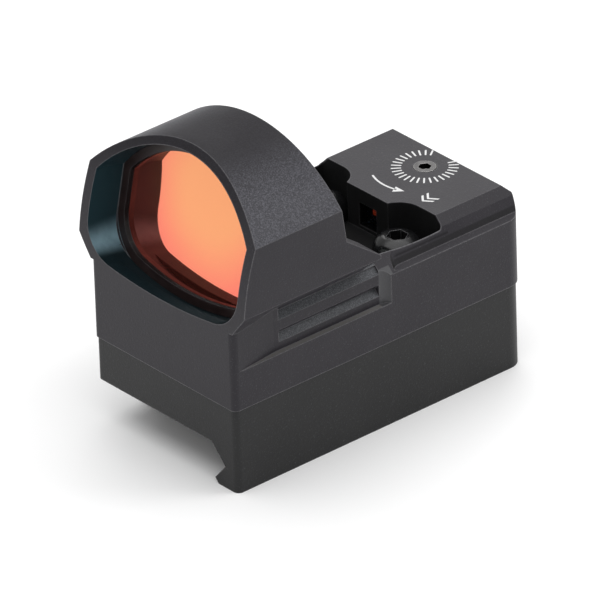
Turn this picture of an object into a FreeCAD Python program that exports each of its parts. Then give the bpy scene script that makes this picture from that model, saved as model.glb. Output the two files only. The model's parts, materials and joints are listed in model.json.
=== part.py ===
import FreeCAD, Part
import math
import os
import re

import Sketcher

# Compact reflex sight on a riser with an integral rail clamp.
# Frame: the origin is the centre of the rail seat, +X is the side of the fixed leg,
# +Y runs from the front lens to the rear block, +Z is up. Millimetres.

DIMENSIONS = {
    # overall envelope
    "body_width": 26.7,
    "body_length": 47.5,
    "front_corner": 0.8,
    "rear_corner": 2.5,
    "seam_height": 6.0,
    "seam_inset": 0.15,
    "block_top": 18.49,
    # hood round the lens
    "hood_half": 15.57,
    "hood_low": 19.8,
    "hood_side_top": 28.8,
    "hood_arch_radius": 20.84,
    "hood_rear": -7.55,
    "flare_start": 16.9,
    "sweep_start": 16.4,
    "sweep_radius": 34.0,
    "gusset_tip": -1.55,
    "gusset_tip_top": 20.33,
    "gusset_knee": -6.94,
    "gusset_knee_top": 24.29,
    # lens pocket, whose axis leans down towards the rear
    "lens_tilt": 12.5,
    "pivot_height": 16.47,
    "window_half": 14.1,
    "window_corner": 4.9,
    "window_bottom_radius": 70.0,
    "arch_radius": 17.7,
    "arch_top": 19.03,
    "lens_half": 13.95,
    "lens_bottom": -0.8,
    "lens_corner": 6.5,
    "lens_bottom_radius": 38.0,
    "window_lead": 1.6,
    "seat_start": 1.95,
    "seat_depth": 3.9,
    "retainer_thickness": 0.7,
    "retainer_width": 1.2,
    "lens_thickness": 2.4,
    "lens_play": 0.05,
    "aperture_inset": 1.9,
    "tunnel_end": 18.0,
    "doublet_radius": 70.0,
    "doublet_centre": 9.3,
    "front_element_middle": 0.6,
    # ribbed recess in each side wall
    "recess_depth": 0.75,
    "recess_blend_start": 0.9,
    "recess_start": 7.2,
    "recess_end": 24.2,
    "recess_end_radius": 1.68,
    "ledge_height": 11.4,
    "rib_two_top": 12.54,
    "rib_one_low": 14.17,
    "rib_one_top": 15.57,
    "recess_top": 17.35,
    "groove_depth": 0.8,
    "groove_start": 8.0,
    # cavity between the hood and the rear block
    "cavity_floor": 12.8,
    "cavity_half": 11.2,
    "cavity_front": -9.0,
    "block_front": 9.75,
    "trough_flare_start": 1.9,
    "trough_rear_half": 11.45,
    "trough_flare_radius": 90.0,
    "trough_corner": 0.6,
    "screw_pocket_radius": 3.42,
    "screw_pocket_half_span": 7.02,
    "screw_pocket_centre": 8.6,
    "side_bevel_half": 10.14,
    "rear_chamfer": 0.9,
    "relief_axis_half": 14.2,
    "relief_start": 4.1,
    "relief_top_half": 11.3,
    "relief_crease_half": 12.35,
    "relief_crease_height": 15.55,
    # rooms on the underside of the housing
    "room_half": 10.2,
    "room_front": -20.25,
    "room_rear": 2.75,
    "room_top": 11.3,
    "duct_half": 3.5,
    "duct_top": 11.0,
    "adjuster_left": -10.6,
    "adjuster_right": 8.6,
    "adjuster_front": 13.1,
    "adjuster_rear": 22.05,
    "adjuster_top": 16.5,
    "carrier_bay_half": 3.7,
    "carrier_bay_front": 10.95,
    "slot_half": 1.6,
    "slot_low": 13.3,
    # clearances
    "running_play": 0.07,
    "side_play": 0.06,
    "face_gap": 0.04,
    # adjuster screws, M2.5 x 0.45 with a plain head
    "head_radius": 1.46,
    "neck_radius": 0.95,
    "thread_radius": 1.25,
    "ring_start": 0.85,
    "ring_section": 0.5,
    "clip_radius": 2.2,
    "clip_thickness": 0.4,
    "clip_slot_half": 0.8,
    "driver_width": 1.5,
    "driver_depth": 0.8,
    "elevation_y": 19.25,
    "elevation_proud": 0.05,
    "elevation_end": 10.2,
    "windage_y": 15.4,
    "windage_z": 12.2,
    "windage_end": -4.2,
    # elevation block, led carrier and windage block
    "travel": 0.45,
    "lift_half": 3.4,
    "lift_front": 11.45,
    "lift_rear": 21.15,
    "lift_low": 11.0,
    "lift_top": 13.5,
    "rail_front": 12.65,
    "rail_width": 1.0,
    "rail_height": 0.8,
    "carrier_half": 3.0,
    "carrier_front": 11.65,
    "carrier_rear": 16.25,
    "carrier_top": 15.9,
    "fork_half": 0.35,
    "fork_front": 15.25,
    "arm_front": 16.6,
    "arm_rear": 17.4,
    "arm_low": 14.2,
    "arm_top": 15.8,
    "nut_outer": -7.6,
    "nut_inner": -4.6,
    "nut_front": 13.75,
    "nut_low": 10.6,
    "nut_top": 16.0,
    "spring_wire": 0.17,
    "spring_play": 0.11,
    # emitter
    "emitter_half": 0.8,
    "emitter_height": 0.8,
    "emitter_z": 14.9,
    "emitter_thickness": 0.4,
    "pane_front": 9.95,
    "pane_thickness": 0.8,
    # circuit board and what is on it
    "board_half": 8.0,
    "board_front": -19.5,
    "board_rear": 2.2,
    "board_low": 8.0,
    "board_thickness": 1.0,
    "chip_height": 0.9,
    "switch_depth": 2.6,
    "switch_width": 3.6,
    "switch_height": 1.3,
    "plunger_radius": 0.45,
    "plunger_tip": -9.15,
    "flex_half": 1.2,
    "flex_thickness": 0.15,
    "flex_rear": 12.4,
    "flex_rise": 10.3,
    # battery, a 20 mm coin cell 3.2 mm thick
    "cell_radius": 10.0,
    "cell_height": 3.2,
    "cell_x": 0.75,
    "cell_y": -9.25,
    "cell_play": 0.2,
    "battery_floor": 4.1,
    "contact_thickness": 0.25,
    "contact_radius": 6.0,
    "contact_slot": 1.2,
    "contact_hub": 1.5,
    "leaf_length": 7.0,
    "leaf_foot": 1.0,
    "leaf_width": 2.5,
    "leaf_thickness": 0.2,
    # push buttons in the left wall
    "button_z": 8.9,
    "button_front_y": -11.5,
    "button_pitch": 7.0,
    "button_radius": 1.95,
    "button_flange": 2.3,
    "button_flange_thickness": 0.5,
    "button_proud": 0.6,
    "button_edge": 0.25,
    # rail clamp for a 21.2 mm rail with 45 degree flanks
    "roof_end": 8.48,
    "flank_apex": 10.9,
    "flank_apex_depth": 2.62,
    "hook_tip": 8.92,
    "hook_tip_depth": 4.87,
    "hook_toe": 9.54,
    "leg_depth": 5.6,
    "jaw_length": 32.0,
    "jaw_play": 0.05,
    "jaw_thickness": 2.5,
    "jaw_gap": 0.25,
    "jaw_top": 4.9,
    "jaw_edge": 0.5,
    "recess_height": 5.0,
    "clamp_screw_y": 13.0,
    "clamp_screw_z": 2.0,
    "clamp_bore": 1.56,
    "clamp_hole_end": -3.8,
    "counterbore_radius": 2.9,
    "counterbore_depth": 1.3,
    # M3 screws
    "m3_radius": 1.5,
    "m3_clearance": 1.6,
    "mount_head_height": 3.0,
    "mount_head_flat": 1.62,
    "mount_driver_width": 2.4,
    "mount_driver_depth": 1.5,
    "mount_screw_x": 7.0,
    "mount_screw_y": 8.45,
    "mount_head_radius": 3.2,
    "mount_head_dome": 1.7,
    "mount_screw_length": 12.0,
    "mount_hole_end": 0.6,
    "button_head_radius": 2.75,
    "button_head_height": 1.7,
    "button_head_flat": 1.5,
    "button_head_dome": 1.3,
    "head_crown": 1.15,
    "button_driver_width": 2.0,
    "button_driver_depth": 1.0,
    "clamp_screw_length": 8.0,
    # dowels and base gasket
    "dowel_x": 9.2,
    "dowel_y": 4.25,
    "dowel_radius": 0.75,
    "dowel_length": 4.0,
    "gasket_outer": 12.2,
    "gasket_width": 1.0,
    "gasket_rear": 22.3,
    "gasket_thickness": 0.4,
    "gasket_corner": 2.0,
}

# Places worked out from the dimensions, named so that several pieces can share them.
PLACES = {
    "side": "body_width / 2",
    "front": "-body_length / 2",
    "rear": "body_length / 2",
    "recess_face": "side - recess_depth",
    "groove_face": "recess_face - groove_depth",
    "bevel_sum": "side_bevel_half + block_top",
    "sweep_top": "hood_side_top + hood_half",
    "lens_front": "seat_depth + retainer_thickness",
    "lens_back": "lens_front + lens_thickness",
    "head_hole": "head_radius + running_play",
    "thread_hole": "thread_radius + running_play",
    "elevation_clip_start": "block_top - adjuster_top + elevation_proud + face_gap",
    "windage_clip_start": "side + adjuster_left + face_gap",
    "relief_top_height": "bevel_sum - relief_top_half",
    "board_top": "board_low + board_thickness",
    "cell_low": "battery_floor + contact_thickness",
    "cell_top": "cell_low + cell_height",
    "button_rear_y": "button_front_y + button_pitch",
    "mount_side": "side - seam_inset",
    "jaw_inner": "-(side - jaw_thickness)",
    "clamp_head": "-side + counterbore_depth",
    "screw_pocket_rear": "screw_pocket_centre + screw_pocket_radius",
    "screw_pocket_meet": "screw_pocket_half_span"
                         " - sqrt(screw_pocket_radius ^ 2 - (block_front - screw_pocket_centre) ^ 2)",
}

# Chips on the circuit board: centre x, centre y, length along X, width along Y.
CHIPS = (
    (0.0, -15.0, 4.0, 4.0),
    (4.5, -8.0, 2.6, 3.0),
    (1.5, -9.5, 1.6, 0.8),
    (5.0, -13.0, 1.6, 0.8),
    (0.0, -4.0, 5.0, 1.6),
)

doc = FreeCAD.newDocument("reflex_sight")
sheet = doc.addObject("Spreadsheet::Sheet", "dims")
for row, (alias, value) in enumerate(DIMENSIONS.items(), start=1):
    sheet.set("A{}".format(row), alias)
    sheet.set("B{}".format(row), str(value))
    sheet.setAlias("B{}".format(row), alias)
doc.recompute()

parts = []


def bound(text):
    """Spell out named places and point every dimension at the sheet."""
    def swap(match):
        word = match.group(0)
        if word in PLACES:
            return "(" + bound(PLACES[word]) + ")"
        return "dims." + word if word in DIMENSIONS else word
    return re.sub(r"[a-z_]\w*", swap, text)


def value_of(text):
    """The present value of an expression."""
    return float(sheet.evalExpression(bound(text)))


def bind(item, **sizes):
    """Tie properties to expressions; a double underscore stands for a dot."""
    for name, text in sizes.items():
        item.setExpression(name.replace("__", "."), bound(text))


def turned_by(turn):
    """The rotation for an (axis, degrees) pair."""
    return FreeCAD.Rotation(FreeCAD.Vector(*turn[0]), turn[1])


def place(item, at, turn=None):
    """Put an item at a point, after an optional (axis, degrees) turn."""
    if turn:
        item.Placement = FreeCAD.Placement(FreeCAD.Vector(), turned_by(turn))
    bind(item, Placement__Base__x=at[0], Placement__Base__y=at[1], Placement__Base__z=at[2])
    return item


def keep(label, item):
    """Name a finished sub-part and put it on the list to export."""
    item.Label = label
    parts.append(item)
    return item


def box(x, y, z):
    """A block between two bounds along each axis."""
    item = doc.addObject("Part::Box", "block")
    bind(item, Length="({1}) - ({0})".format(*x), Width="({1}) - ({0})".format(*y),
         Height="({1}) - ({0})".format(*z))
    return place(item, (x[0], y[0], z[0]))


TURNS = {"x": ((0, 1, 0), 90), "y": ((1, 0, 0), -90), "z": None}


def rod(axis, radius, length, at):
    """A cylinder that starts at a point and runs along +X, +Y or +Z."""
    item = doc.addObject("Part::Cylinder", "rod")
    bind(item, Radius=radius, Height=length)
    return place(item, at, TURNS[axis])


def fuse(*items):
    """Join solids into one."""
    item = doc.addObject("Part::MultiFuse", "joined")
    item.Shapes = list(items)
    item.Refine = True
    return item


def group(*items):
    """Keep several separate solids together as one item."""
    item = doc.addObject("Part::Compound", "group")
    item.Links = list(items)
    return item


def cut(base, *tools):
    """Take one or more solids away from another."""
    item = doc.addObject("Part::Cut", "cut")
    item.Base = base
    item.Tool = tools[0] if len(tools) == 1 else fuse(*tools)
    item.Refine = True
    return item


def sketch_on(body, plane, offset, tilt=None):
    """An empty sketch on one of the body's own planes, moved by an offset and leaned by a tilt."""
    support = [item for item in body.Origin.OriginFeatures if item.Role == plane][0]
    sketch = body.newObject("Sketcher::SketchObject", "sketch")
    sketch.AttachmentSupport = (support, [""])
    sketch.MapMode = "FlatFace"
    if tilt:
        sketch.AttachmentOffset = FreeCAD.Placement(FreeCAD.Vector(), turned_by(((1, 0, 0), 1)))
        bind(sketch, AttachmentOffset__Rotation__Angle=tilt)
    bind(sketch, AttachmentOffset__Base__x=offset[0], AttachmentOffset__Base__y=offset[1],
         AttachmentOffset__Base__z=offset[2])
    return sketch


def pin_point(sketch, edge, end, axis, text):
    """Hold one coordinate of a sketch point at an expression."""
    sketch.addConstraint(Sketcher.Constraint("Distance" + axis, -1, 1, edge, end, value_of(text)))
    sketch.setExpression("Constraints[{}]".format(sketch.ConstraintCount - 1), bound(text))


def size_arc(sketch, edge, text):
    """Hold the radius of a sketch arc or circle at an expression."""
    sketch.addConstraint(Sketcher.Constraint("Radius", edge, value_of(text)))
    sketch.setExpression("Constraints[{}]".format(sketch.ConstraintCount - 1), bound(text))


def arc_between(start, end, radius):
    """The short arc from start to end; a positive radius bulges to the right of the direction of travel."""
    chord = end - start
    rise = math.sqrt(radius * radius - chord.Length * chord.Length / 4)
    side = FreeCAD.Vector(-chord.y, chord.x, 0).normalize()
    middle = (start + end) * 0.5
    crown = middle - side * math.copysign(abs(radius) - rise, radius)
    return Part.Arc(start, crown, end)


def loop(sketch, points):
    """A closed outline: each point is (u, v), or (u, v, radius) for an arc that ends there."""
    spots = [FreeCAD.Vector(value_of(point[0]), value_of(point[1]), 0) for point in points]
    first = sketch.GeometryCount
    for index, point in enumerate(points):
        start, end = spots[index - 1], spots[index]
        if len(point) == 3:
            sketch.addGeometry(arc_between(start, end, value_of(point[2])), False)
        else:
            sketch.addGeometry(Part.LineSegment(start, end), False)
    count = len(points)
    ends = [end_marks(sketch, first + index, spots[index]) for index in range(count)]
    for index, point in enumerate(points):
        following = (index + 1) % count
        sketch.addConstraint(Sketcher.Constraint(
            "Coincident", first + index, ends[index][1], first + following, ends[following][0]))
        pin_point(sketch, first + index, ends[index][1], "X", point[0])
        pin_point(sketch, first + index, ends[index][1], "Y", point[1])
        if len(point) == 3:
            size_arc(sketch, first + index, point[2].lstrip("-"))
    return sketch


def end_marks(sketch, edge, end):
    """Which of an edge's two marked points is its start and which its end, for a given end place."""
    marked = sketch.getPoint(edge, 2)
    return (1, 2) if marked.distanceToPoint(end) < 1e-6 else (2, 1)


def ring(sketch, centre, radius):
    """A circle in a sketch."""
    spot = FreeCAD.Vector(value_of(centre[0]), value_of(centre[1]), 0)
    edge = sketch.addGeometry(Part.Circle(spot, FreeCAD.Vector(0, 0, 1), value_of(radius)), False)
    pin_point(sketch, edge, 3, "X", centre[0])
    pin_point(sketch, edge, 3, "Y", centre[1])
    size_arc(sketch, edge, radius)
    return sketch


def extrude(body, kind, sketch, length, reverse=False):
    """A pad or pocket of a sketch; a pocket that takes nothing away is an error."""
    before = body.Shape.Volume if kind == "Pocket" else 0.0
    feature = body.newObject("PartDesign::" + kind, kind.lower())
    feature.Profile = sketch
    feature.Reversed = reverse
    feature.Refine = True
    bind(feature, Length=length)
    doc.recompute()
    if kind == "Pocket" and body.Shape.Volume > before - 1e-4:
        raise RuntimeError("a pocket in {} cuts nothing".format(body.Name))
    return feature


def new_body(name):
    return doc.addObject("PartDesign::Body", name)


def plan(body, height):
    """A sketch seen from above: u is X, v is Y."""
    return sketch_on(body, "XY_Plane", ("0", "0", height))


def frontal(body, depth):
    """A sketch seen from the front at a given Y: u is X, v is Z."""
    return sketch_on(body, "XZ_Plane", ("0", "0", "-({})".format(depth)))


def lateral(body, reach):
    """A sketch seen from the side at a given X: u is Y, v is Z."""
    return sketch_on(body, "YZ_Plane", ("0", "0", reach))


def leaning(body, depth):
    """A sketch square to the lens axis, a given depth behind the pivot: u is X, v is up the lens."""
    rise = "pivot_height - ({}) * sin(lens_tilt)".format(depth)
    back = "front + ({}) * cos(lens_tilt)".format(depth)
    return sketch_on(body, "XZ_Plane", ("0", rise, "-({})".format(back)), "-lens_tilt")


def mirrored(points):
    """The same outline on the other side of the middle plane, still running the same way round."""
    flipped = [("-({})".format(point[0]), point[1]) for point in points]
    return flipped[::-1]


def rectangle(x, y, radii=None):
    """Corner points of a rectangle, with rounded corners (low v, high v) if radii are given."""
    if not radii:
        return [(x[0], y[0]), (x[1], y[0]), (x[1], y[1]), (x[0], y[1])]
    low, high = radii
    return [
        (x[1] + " - " + low, y[0]), (x[1], y[0] + " + " + low, low),
        (x[1], y[1] + " - " + high), (x[1] + " - " + high, y[1], high),
        (x[0] + " + " + high, y[1]), (x[0], y[1] + " - " + high, high),
        (x[0], y[0] + " + " + low), (x[0] + " + " + low, y[0], low),
    ]


def lens_outline(half, bottom, bottom_radius, corner, inset="0"):
    """A round-cornered outline with a curved foot and an arched top; arcs keep their centres when inset."""
    terms = {"half": half, "bottom": bottom, "foot": bottom_radius, "corner": corner, "inset": inset}
    shrink = "(({foot}) - ({inset})) / (({foot}) - ({corner}))".format(**terms)
    reach = "sqrt((({foot}) - ({corner})) ^ 2 - (({half}) - ({corner})) ^ 2)".format(**terms)
    foot_u = "(({half}) - ({corner})) * {shrink}".format(shrink=shrink, **terms)
    foot_v = "({bottom}) + ({foot}) - {reach} * {shrink}".format(shrink=shrink, reach=reach, **terms)
    side_u = "({half}) - ({inset})".format(**terms)
    side_low = "({bottom}) + ({foot}) - {reach}".format(reach=reach, **terms)
    side_high = ("arch_top - arch_radius + sqrt((arch_radius - ({inset})) ^ 2"
                 " - (({half}) - ({inset})) ^ 2)").format(**terms)
    foot_r = "({foot}) - ({inset})".format(**terms)
    corner_r = "({corner}) - ({inset})".format(**terms)
    arch_r = "arch_radius - ({inset})".format(**terms)
    return [
        (foot_u, foot_v, foot_r), (side_u, side_low, corner_r),
        (side_u, side_high), ("-(" + side_u + ")", side_high, arch_r),
        ("-(" + side_u + ")", side_low), ("-(" + foot_u + ")", foot_v, corner_r),
    ]


def seat_outline(inset="0"):
    return lens_outline("lens_half", "lens_bottom", "lens_bottom_radius", "lens_corner", inset)


def housing():
    """Aluminium body: hood, side walls, rear block and the rooms under them."""
    body = new_body("housing_body")
    sketch = loop(plan(body, "seam_height"),
                  rectangle(("-side", "side"), ("front", "rear"), ("front_corner", "rear_corner")))
    extrude(body, "Pad", sketch, "block_top - seam_height")
    bevel_block(body)
    hood(body)
    side_recesses(body)
    lens_pocket(body)
    cavity(body)
    underside(body)
    bores(body)
    keep("housing", body)


def bevel_block(body):
    """Chamfers along the block's side and rear top edges, and the relief milled into each side bevel."""
    triangle = [("side_bevel_half", "block_top"), ("side", "bevel_sum - side"),
                ("side + 1", "bevel_sum - side"), ("side + 1", "block_top + 1"),
                ("side_bevel_half", "block_top + 1")]
    sketch = loop(frontal(body, "hood_rear"), triangle)
    loop(sketch, mirrored(triangle))
    extrude(body, "Pocket", sketch, "rear - hood_rear")
    edge = [("rear - rear_chamfer", "block_top"), ("rear", "block_top - rear_chamfer"),
            ("rear + 1", "block_top - rear_chamfer"), ("rear + 1", "block_top + 1"),
            ("rear - rear_chamfer", "block_top + 1")]
    extrude(body, "Pocket", loop(lateral(body, "-side"), edge), "body_width", reverse=True)
    relief = [("relief_top_half", "relief_top_height"), ("relief_crease_half", "relief_crease_height"),
              ("side", "bevel_sum - side"), ("relief_axis_half", "bevel_sum - side"),
              ("relief_axis_half", "relief_top_height")]
    sketch = loop(frontal(body, "relief_start"), relief)
    loop(sketch, mirrored(relief))
    extrude(body, "Pocket", sketch, "rear - relief_start")
    for sign in ("", "-"):
        offset = ("{}relief_axis_half".format(sign), "0", "-relief_start")
        sketch = sketch_on(body, "XZ_Plane", offset)
        half = [("{} - relief_axis_half".format(x), z) for x, z in relief]
        loop(sketch, half if not sign else mirrored(half))
        turn = body.newObject("PartDesign::Groove", "turn")
        turn.Profile = sketch
        turn.ReferenceAxis = (sketch, ["V_Axis"])
        turn.Angle = 360
        doc.recompute()


def hood(body):
    """The hood's arched shell, its swept-back front and the gussets that run down to the side walls."""
    outline = [("side - 1", "flare_start"), ("side", "flare_start"), ("hood_half", "hood_low"),
               ("hood_half", "hood_side_top"), ("-hood_half", "hood_side_top", "hood_arch_radius"),
               ("-hood_half", "hood_low"), ("-side", "flare_start"), ("-side + 1", "flare_start")]
    extrude(body, "Pad", loop(frontal(body, "front"), outline), "hood_rear - front", reverse=True)
    gusset = [("cavity_half", "flare_start"), ("side", "flare_start"), ("hood_half", "hood_low"),
              ("hood_half", "hood_side_top"), ("cavity_half", "hood_side_top")]
    sketch = loop(frontal(body, "hood_rear"), gusset)
    loop(sketch, mirrored(gusset))
    extrude(body, "Pad", sketch, "gusset_tip - hood_rear", reverse=True)
    slope = [("hood_rear", "hood_side_top"), ("gusset_knee", "gusset_knee_top"),
             ("gusset_tip", "gusset_tip_top"), ("gusset_tip + 1", "gusset_tip_top"),
             ("gusset_tip + 1", "hood_side_top + 1"), ("hood_rear", "hood_side_top + 1")]
    extrude(body, "Pocket", loop(lateral(body, "-hood_half"), slope), "2 * hood_half", reverse=True)
    sweep = [("front - 1", "sweep_start"), ("front - 1", "sweep_top"),
             ("front + sweep_radius - sqrt(sweep_radius ^ 2 - (sweep_top - sweep_start) ^ 2)", "sweep_top"),
             ("front", "sweep_start", "sweep_radius")]
    extrude(body, "Pocket", loop(lateral(body, "-hood_half"), sweep), "2 * hood_half", reverse=True)


def side_recesses(body):
    """A shallow recess in each side wall, ribbed along its length, blended in at the front."""
    outside = "hood_half + 1"
    for flip in (False, True):
        start = [("side", "ledge_height"), (outside, "ledge_height"), (outside, "hood_low"),
                 ("hood_half", "hood_low"), ("side", "flare_start")]
        full = [("recess_face", "ledge_height"), (outside, "ledge_height"), (outside, "hood_low"),
                ("hood_half", "hood_low"), ("recess_face", "recess_top")]
        near = loop(frontal(body, "front + recess_blend_start"), mirrored(start) if flip else start)
        far = loop(frontal(body, "front + recess_start"), mirrored(full) if flip else full)
        blend = body.newObject("PartDesign::SubtractiveLoft", "blend")
        blend.Profile = near
        blend.Sections = [far]
        blend.Ruled = True
        doc.recompute()
        again = loop(frontal(body, "front + recess_start"), mirrored(full) if flip else full)
        extrude(body, "Pocket", again, "recess_end - recess_start")
    ends = plan(body, "ledge_height")
    for sign in ("", "-"):
        ring(ends, (sign + "(recess_face + recess_end_radius)", "front + recess_end"), "recess_end_radius")
    extrude(body, "Pocket", ends, "block_top - ledge_height", reverse=True)
    grooves = frontal(body, "front + groove_start")
    for low, high in (("rib_two_top", "rib_one_low"), ("rib_one_top", "recess_top")):
        vee = [("recess_face", low), ("recess_face + 1", low), ("recess_face + 1", high),
               ("recess_face", high), ("groove_face", "(({}) + ({})) / 2".format(low, high))]
        loop(grooves, vee)
        loop(grooves, mirrored(vee))
    extrude(body, "Pocket", grooves, "recess_end - groove_start")


def lens_pocket(body):
    """The window in the hood's front, the lens seat behind it and the clear tunnel to the rear."""
    window = lens_outline("window_half", "0", "window_bottom_radius", "window_corner")
    stages = (
        (window, "-window_lead", "seat_depth"),
        (seat_outline(), "seat_start", "lens_back"),
        (seat_outline("aperture_inset"), "lens_back", "tunnel_end"),
    )
    for outline, near, far in stages:
        extrude(body, "Pocket", loop(leaning(body, near), outline), "({}) - ({})".format(far, near))


def cavity(body):
    """The open trough between the hood and the rear block, with round pockets for the mount screws."""
    right = [
        ("cavity_half", "cavity_front"), ("cavity_half", "trough_flare_start"),
        ("trough_rear_half", "screw_pocket_rear - trough_corner", "trough_flare_radius"),
        ("trough_rear_half - trough_corner", "screw_pocket_rear", "trough_corner"),
        ("screw_pocket_half_span", "screw_pocket_rear"),
        ("screw_pocket_meet", "block_front", "screw_pocket_radius"),
    ]
    left = [
        ("-screw_pocket_meet", "block_front"),
        ("-screw_pocket_half_span", "screw_pocket_rear", "screw_pocket_radius"),
        ("-(trough_rear_half - trough_corner)", "screw_pocket_rear"),
        ("-trough_rear_half", "screw_pocket_rear - trough_corner", "trough_corner"),
        ("-cavity_half", "trough_flare_start", "trough_flare_radius"), ("-cavity_half", "cavity_front"),
    ]
    sketch = loop(plan(body, "cavity_floor"), right + left)
    extrude(body, "Pocket", sketch, "block_top - cavity_floor", reverse=True)


def underside(body):
    """Rooms cut up into the housing: electronics, a wiring duct and the adjuster bay."""
    rooms = (
        (("-room_half", "room_half"), ("room_front", "room_rear"), "room_top"),
        (("-duct_half", "duct_half"), ("room_rear", "adjuster_front"), "duct_top"),
        (("adjuster_left", "adjuster_right"), ("adjuster_front", "adjuster_rear"), "adjuster_top"),
        (("-carrier_bay_half", "carrier_bay_half"), ("carrier_bay_front", "adjuster_front"), "adjuster_top"),
    )
    for x, y, top in rooms:
        extrude(body, "Pocket", loop(plan(body, "seam_height"), rectangle(x, y)), top + " - seam_height",
                reverse=True)
    sketch = ring(plan(body, "seam_height"), ("cell_x", "cell_y"), "cell_radius + cell_play")
    extrude(body, "Pocket", sketch, "cell_top + cell_play - seam_height", reverse=True)


def bores(body):
    """Holes for the screws, dowels, adjusters and buttons, and the emitter's slot."""
    sketch = plan(body, "seam_height")
    for sign in ("", "-"):
        ring(sketch, (sign + "mount_screw_x", "mount_screw_y"), "m3_clearance")
    extrude(body, "Pocket", sketch, "cavity_floor - seam_height", reverse=True)
    sketch = plan(body, "seam_height")
    for sign in ("", "-"):
        ring(sketch, (sign + "dowel_x", "dowel_y"), "dowel_radius")
    extrude(body, "Pocket", sketch, "dowel_length / 2", reverse=True)
    sketch = ring(plan(body, "adjuster_top"), ("0", "elevation_y"), "head_hole")
    extrude(body, "Pocket", sketch, "block_top - adjuster_top", reverse=True)
    sketch = ring(lateral(body, "-side"), ("windage_y", "windage_z"), "head_hole")
    extrude(body, "Pocket", sketch, "adjuster_left + side", reverse=True)
    sketch = lateral(body, "-side")
    for spot in ("button_front_y", "button_rear_y"):
        ring(sketch, (spot, "button_z"), "button_radius + running_play")
    extrude(body, "Pocket", sketch, "side - room_half", reverse=True)
    slot = rectangle(("-slot_half", "slot_half"), ("slot_low", "adjuster_top"))
    extrude(body, "Pocket", loop(frontal(body, "block_front"), slot), "carrier_bay_front - block_front")


def lens():
    """A cemented pair of lens elements and the thin frame that holds them in the seat."""
    frame = new_body("lens_retainer_body")
    sketch = loop(leaning(frame, "seat_depth"), seat_outline("lens_play"))
    loop(sketch, seat_outline("retainer_width"))
    extrude(frame, "Pad", sketch, "retainer_thickness", reverse=True)
    keep("lens_retainer", frame)
    up, back = "doublet_centre", "(lens_front + front_element_middle + doublet_radius)"
    middle = ("0", "front + {} * sin(lens_tilt) + {} * cos(lens_tilt)".format(up, back),
              "pivot_height + {} * cos(lens_tilt) - {} * sin(lens_tilt)".format(up, back))
    for label, kind in (("lens_front_element", "Part::Cut"), ("lens_rear_element", "Part::Common")):
        blank = new_body(label + "_blank")
        sketch = loop(leaning(blank, "lens_front"), seat_outline("lens_play"))
        extrude(blank, "Pad", sketch, "lens_thickness", reverse=True)
        ball = doc.addObject("Part::Sphere", "ball")
        bind(ball, Radius="doublet_radius")
        place(ball, middle)
        element = doc.addObject(kind, label)
        element.Base = blank
        element.Tool = ball
        keep(label, element)


def mount_body():
    """Riser: flat top for the housing, rail channel below with one fixed leg, recess for the clamp jaw."""
    body = new_body("mount_body_body")
    ends = ("front + seam_inset", "rear - seam_inset")
    sketch = loop(plan(body, "-leg_depth"),
                  rectangle(("-mount_side", "mount_side"), ends, ("front_corner", "rear_corner")))
    extrude(body, "Pad", sketch, "leg_depth + seam_height")
    channel = [("-side - 1", "0"), ("-side - 1", "-leg_depth - 1"), ("hook_toe", "-leg_depth - 1"),
               ("hook_toe", "-leg_depth"), ("hook_tip", "-hook_tip_depth"),
               ("flank_apex", "-flank_apex_depth"), ("roof_end", "0")]
    extrude(body, "Pocket", loop(frontal(body, "front"), channel), "body_length")
    reach = "jaw_length / 2 + jaw_play"
    recess = rectangle(("-side - 1", "jaw_inner + jaw_gap"), ("-(" + reach + ")", reach))
    extrude(body, "Pocket", loop(plan(body, "0"), recess), "recess_height", reverse=True)
    sketch = ring(plan(body, "battery_floor"), ("cell_x", "cell_y"), "cell_radius + cell_play")
    extrude(body, "Pocket", sketch, "seam_height - battery_floor", reverse=True)
    extrude(body, "Pocket", gasket_loops(plan(body, "seam_height - gasket_thickness")), "gasket_thickness",
            reverse=True)
    sketch = plan(body, "mount_hole_end")
    for sign in ("", "-"):
        ring(sketch, (sign + "mount_screw_x", "mount_screw_y"), "m3_radius")
    extrude(body, "Pocket", sketch, "seam_height - mount_hole_end", reverse=True)
    sketch = plan(body, "seam_height - dowel_length / 2")
    for sign in ("", "-"):
        ring(sketch, (sign + "dowel_x", "dowel_y"), "dowel_radius")
    extrude(body, "Pocket", sketch, "dowel_length / 2", reverse=True)
    sketch = lateral(body, "-side")
    for sign in ("", "-"):
        ring(sketch, (sign + "clamp_screw_y", "clamp_screw_z"), "clamp_bore")
    extrude(body, "Pocket", sketch, "clamp_hole_end + side", reverse=True)
    keep("mount_body", body)


def gasket_loops(sketch):
    """Outer and inner outlines of the base gasket."""
    inner, rear = "(gasket_outer - gasket_width)", "(gasket_rear - gasket_width)"
    loop(sketch, rectangle(("-gasket_outer", "gasket_outer"), ("-gasket_rear", "gasket_rear"),
                           ("gasket_corner", "gasket_corner")))
    loop(sketch, rectangle(("-" + inner, inner), ("-" + rear, rear), ("gasket_width", "gasket_width")))
    return sketch


def base_gasket():
    body = new_body("base_gasket_body")
    extrude(body, "Pad", gasket_loops(plan(body, "seam_height - gasket_thickness")), "gasket_thickness")
    keep("base_gasket", body)


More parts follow.
